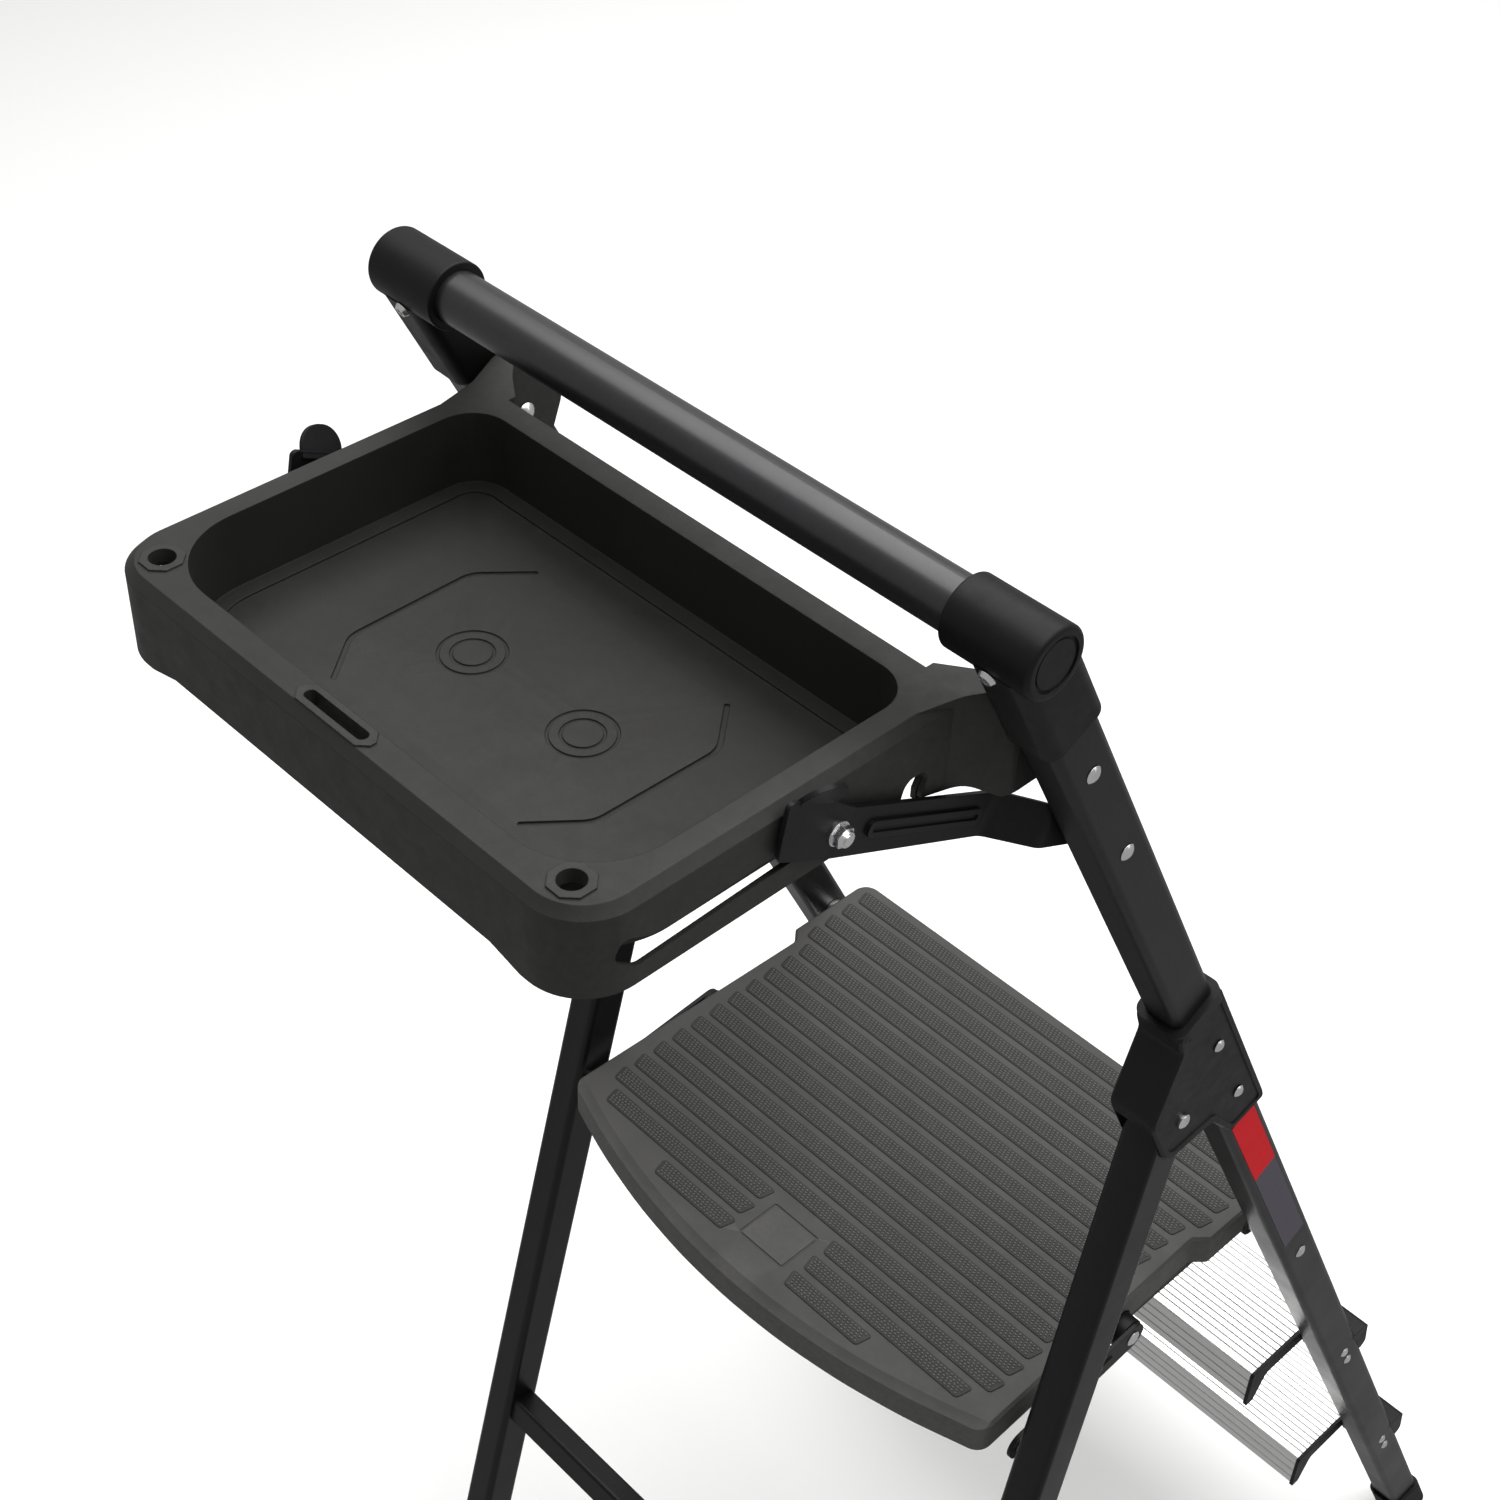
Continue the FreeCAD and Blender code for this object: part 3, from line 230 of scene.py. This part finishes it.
def moulded(name, colour, roughness, grain, grain_depth, specular, painted_shade_above=None):
    """Moulded plastic: fine spark-eroded grain, faint cloudiness, edges lightened as rubbed wear and
    painted highlight.

    The last argument is a height over which the surface is darker with painted shade, for the tops of
    tread strips.
    """
    material, nodes, links = new_material(name)
    shader = nodes["Principled BSDF"]
    shader.inputs["Specular IOR Level"].default_value = specular
    vector = object_coordinates(nodes, links)
    cloud = noise(nodes, links, vector, 9, 4)
    fine = noise(nodes, links, vector, grain, 2, 0.6)
    scuff = noise(nodes, links, vector, 75, 6, 0.7)
    base = ramp(nodes, links, cloud, tint(colour, 0.88), tint(colour, 1.12), 0.35, 0.65)
    # rubbed wear and painted highlight: sharp edges lightened towards 1.8 times the colour
    base = blend_colour(nodes, links, edge_wear_and_highlight(nodes, links, vector), base, tint(colour, 1.8))
    # painted shade: above the given height, on the tread strips' tops, the colour is darkened to 0.35
    if painted_shade_above is not None:
        painted_strip_shade = height_mask(nodes, links, painted_shade_above)
        base = blend_colour(nodes, links, painted_strip_shade, base, tint(colour, 0.35))
    links.new(base, shader.inputs["Base Color"])
    rough = ramp(nodes, links, scuff, grey(roughness - 0.06), grey(roughness + 0.06), 0.35, 0.7)
    links.new(rough, shader.inputs["Roughness"])
    normal = bump_chain(nodes, links, ((fine, grain_depth),), 0.0008)
    links.new(normal, shader.inputs["Normal"])
    return material


def coated(name, colour, roughness, peel_depth, specular, coat):
    """Powder-coated steel: orange peel, fine speckle and soft edges lightened as rubbed wear and
    painted highlight.
    """
    material, nodes, links = new_material(name)
    shader = nodes["Principled BSDF"]
    vector = object_coordinates(nodes, links)
    peel = noise(nodes, links, vector, 520, 2)
    speckle = noise(nodes, links, vector, 2600, 1)
    haze = noise(nodes, links, vector, 16, 5)
    base = ramp(nodes, links, haze, tint(colour, 0.88), tint(colour, 1.12), 0.35, 0.68)
    # rubbed wear and painted highlight: sharp edges lightened towards 2.2 times the colour
    base = blend_colour(nodes, links, edge_wear_and_highlight(nodes, links, vector), base, tint(colour, 2.2))
    links.new(base, shader.inputs["Base Color"])
    rough = ramp(nodes, links, haze, grey(roughness - 0.04), grey(roughness + 0.06), 0.3, 0.7)
    links.new(rough, shader.inputs["Roughness"])
    shader.inputs["Specular IOR Level"].default_value = specular
    shader.inputs["Coat Weight"].default_value = coat
    shader.inputs["Coat Roughness"].default_value = 0.22
    normal = bump_chain(nodes, links, ((peel, peel_depth), (speckle, peel_depth * 0.25)), 0.0007)
    links.new(normal, shader.inputs["Normal"])
    return material


def extruded_aluminium(name):
    """Mill-finish extrusion: long fine die lines along X and a cloudy oxide."""
    material, nodes, links = new_material(name)
    shader = nodes["Principled BSDF"]
    lines = noise(nodes, links, object_coordinates(nodes, links, (3, 900, 900)), 1.0, 3, 0.7)
    cloud = noise(nodes, links, object_coordinates(nodes, links), 22, 4)
    shader.inputs["Metallic"].default_value = 1.0
    base = ramp(nodes, links, lines, (0.74, 0.74, 0.735), (0.90, 0.90, 0.89), 0.3, 0.7)
    links.new(base, shader.inputs["Base Color"])
    rough = ramp(nodes, links, cloud, grey(0.34), grey(0.48), 0.35, 0.65)
    links.new(rough, shader.inputs["Roughness"])
    normal = bump_chain(nodes, links, ((lines, 0.00004),), 0.0004)
    links.new(normal, shader.inputs["Normal"])
    return material


def zinc_plate(name):
    """Bright zinc on rivets, screws and nuts, with a faint yellow passivation."""
    material, nodes, links = new_material(name)
    shader = nodes["Principled BSDF"]
    vector = object_coordinates(nodes, links)
    crystal = noise(nodes, links, vector, 900, 3)
    blush = noise(nodes, links, vector, 90, 3)
    shader.inputs["Metallic"].default_value = 1.0
    base = ramp(nodes, links, blush, (0.70, 0.71, 0.73), (0.84, 0.84, 0.81), 0.35, 0.65)
    links.new(base, shader.inputs["Base Color"])
    rough = ramp(nodes, links, crystal, grey(0.20), grey(0.36), 0.3, 0.7)
    links.new(rough, shader.inputs["Roughness"])
    normal = bump_chain(nodes, links, ((crystal, 0.00003),), 0.0003)
    links.new(normal, shader.inputs["Normal"])
    return material


def printed_film(name, colour, roughness):
    """Printed sticker film: even ink, faint ripples and dull handling marks."""
    material, nodes, links = new_material(name)
    shader = nodes["Principled BSDF"]
    vector = object_coordinates(nodes, links)
    ripple = noise(nodes, links, vector, 70, 2)
    marks = noise(nodes, links, object_coordinates(nodes, links, (1, 1, 5)), 120, 5, 0.7)
    shader.inputs["Specular IOR Level"].default_value = 0.05
    base = ramp(nodes, links, marks, tint(colour, 0.92), colour, 0.3, 0.6)
    links.new(base, shader.inputs["Base Color"])
    rough = ramp(nodes, links, marks, grey(roughness), grey(roughness + 0.15), 0.35, 0.75)
    links.new(rough, shader.inputs["Roughness"])
    normal = bump_chain(nodes, links, ((ripple, 0.0001),), 0.0002)
    links.new(normal, shader.inputs["Normal"])
    return material


def make_materials():
    """One Blender material for each slot of the record, and two for the platform and its studs."""
    strip_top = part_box("platform_top")[1].z
    grey_plastic = (0.0150, 0.0148, 0.0136)
    return {
        "frame_black": coated("frame_black", (0.0040, 0.0040, 0.0046), 0.32, 0.00005, 0.20, 0.0),
        "handrail_black": coated("handrail_black", (0.0065, 0.0065, 0.0075), 0.36, 0.00002, 0.5, 0.3),
        "stamped_black": coated("stamped_black", (0.0048, 0.0048, 0.0054), 0.40, 0.00006, 0.16, 0.0),
        "moulded_black": moulded("moulded_black", (0.0052, 0.0052, 0.0058), 0.46, 2200, 0.00006, 0.18),
        "moulded_grey": moulded("moulded_grey", tint(grey_plastic, 0.95), 0.54, 1800, 0.00007, 0.26),
        # the platform's material carries painted shade on the tread strips' tops
        "platform_grey": moulded("platform_grey", tint(grey_plastic, 2.7), 0.58, 1800, 0.00008, 0.35,
                                 strip_top - PAINTED_SHADE_DROP),
        "stud_grey": moulded("stud_grey", tint(grey_plastic, 3.2), 0.50, 2600, 0.00002, 0.5),
        "rubber_black": moulded("rubber_black", (0.0080, 0.0080, 0.0080), 0.80, 900, 0.00012, 0.2),
        "ribbed_aluminium": extruded_aluminium("ribbed_aluminium"),
        "zinc": zinc_plate("zinc"),
        "label_red": printed_film("label_red", (0.52, 0.003, 0.009), 0.45),
        "label_grey": printed_film("label_grey", (0.075, 0.070, 0.085), 0.48),
    }


def dress_nodes(materials):
    """Give every CAD node the material of its slot in the record."""
    for part in frame["record"]["subparts"]:
        node = frame["nodes"][part["node"]]
        node.data.materials.clear()
        look = "platform_grey" if part["node"] == "platform_top" else part["material_slot"]
        node.data.materials.append(materials[look])


# ------------------------------------------------------------------ tread studs
GRIP_Y = 0.2589                  # the handrail's axis, from which the CAD places the platform
PLATFORM_BACK = GRIP_Y - 0.392
PLATFORM_NOTCH = GRIP_Y - 0.307
PLATFORM_CORNER = GRIP_Y - 0.084
PLATFORM_FRONT = GRIP_Y - 0.047
WIDE_HALF = 0.203
NECK_HALF = 0.194
CORNER_HALF = NECK_HALF + 0.005  # where the bowed front edge meets the sides
BROW = 0.008                     # sloping border along the front edge
STRIP_COUNT = 17
STRIP_PITCH = 0.0187
STRIP_WIDTH = 0.0130
STRIP_FIRST = 0.016              # from the platform's back edge to the first strip's middle
STRIP_SLOPE = 0.23               # of the strips' slanted ends
STRIP_MARGIN = 0.009             # from the platform's side to a strip's end
NOTCH_MARGIN = 0.012             # from the side notch to the last wide strip's middle
BROW_MARGIN = 0.005              # from the sloping border to a strip's end
TRIM_STEP = 0.004                # by which a strip is shortened until it clears the border
BADGE_CLEARANCE = 0.001          # along Y, under which a strip is split by the badge
BADGE_MARGIN = 0.007             # from the badge to the ends of a split strip
BADGE_Y = GRIP_Y - 0.096
BADGE_HALF = 0.021
STUD_PITCH_X = 0.0031
STUD_ROWS = 5
STUD_PITCH_Y = 0.0022
STUD_HALF_X = 0.00125
STUD_HALF_Y = 0.00085
STUD_HEIGHT = 0.00065
STUD_ROOT = 0.00005              # of each stud's base, below the strip's top
STUD_CROWN = 0.6                 # the crown's width as a share of the base's
STUD_END_MARGIN = 0.0015
STUD_OUTLINE = ((1, 0), (0.5, 1), (-0.5, 1), (-1, 0), (-0.5, -1), (0.5, -1))


def front_edge_y(x):
    """Front edge of the platform at a distance x from its middle."""
    return PLATFORM_FRONT - (PLATFORM_FRONT - PLATFORM_CORNER) * (abs(x) / CORNER_HALF) ** 2


def strip_spans():
    """(y, x0, x1) of every raised strip, as in the CAD."""
    spans = []
    for i in range(STRIP_COUNT):
        y = PLATFORM_BACK + STRIP_FIRST + i * STRIP_PITCH
        half = (WIDE_HALF if y < PLATFORM_NOTCH - NOTCH_MARGIN else NECK_HALF) - STRIP_MARGIN
        while front_edge_y(half) < y + STRIP_WIDTH / 2 + BROW + BROW_MARGIN:
            half -= TRIM_STEP
        if abs(y - BADGE_Y) < BADGE_HALF + STRIP_WIDTH / 2 + BADGE_CLEARANCE:
            inner = BADGE_HALF + BADGE_MARGIN
            spans += [(y, -half, -inner), (y, inner, half)]
        else:
            spans.append((y, -half, half))
    return spans


def add_stud(mesh, x, y, z):
    """One low six-sided stud with sloping sides."""
    base = []
    crown = []
    for dx, dy in STUD_OUTLINE:
        across = dx * STUD_HALF_X
        along = dy * STUD_HALF_Y
        base.append(mesh.verts.new((x + across, y + along, z - STUD_ROOT)))
        crown.append(mesh.verts.new((x + across * STUD_CROWN, y + along * STUD_CROWN, z + STUD_HEIGHT)))
    for i in range(len(STUD_OUTLINE)):
        following = (i + 1) % len(STUD_OUTLINE)
        mesh.faces.new((base[i], base[following], crown[following], crown[i]))
    mesh.faces.new(crown)


def add_tread_studs(materials):
    """Brick-laid studs along every raised strip of the platform."""
    mesh = bmesh.new()
    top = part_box("platform_top")[1].z
    for y, x0, x1 in strip_spans():
        for row in range(STUD_ROWS):
            across = (row - (STUD_ROWS - 1) / 2) * STUD_PITCH_Y
            shift = STUD_PITCH_X / 2 if row % 2 else 0
            slant = STUD_END_MARGIN + (across + STRIP_WIDTH / 2) * STRIP_SLOPE
            count = int((x1 - x0 - 2 * slant - shift - 2 * STUD_HALF_X) / STUD_PITCH_X)
            start = (x0 + x1) / 2 - count * STUD_PITCH_X / 2 + shift / 2
            for i in range(count + 1):
                add_stud(mesh, start + i * STUD_PITCH_X, y + across, top)
    finish_piece("platform_studs", mesh, materials["stud_grey"], "platform")


def finish_piece(name, mesh, material, body):
    data = bpy.data.meshes.new(name)
    mesh.to_mesh(data)
    mesh.free()
    data.materials.append(material)
    piece = bpy.data.objects.new(name, data)
    bpy.context.scene.collection.objects.link(piece)
    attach(piece, body)


def main():
    add_camera()
    add_studio()
    materials = make_materials()
    dress_nodes(materials)
    add_tread_studs(materials)


main()
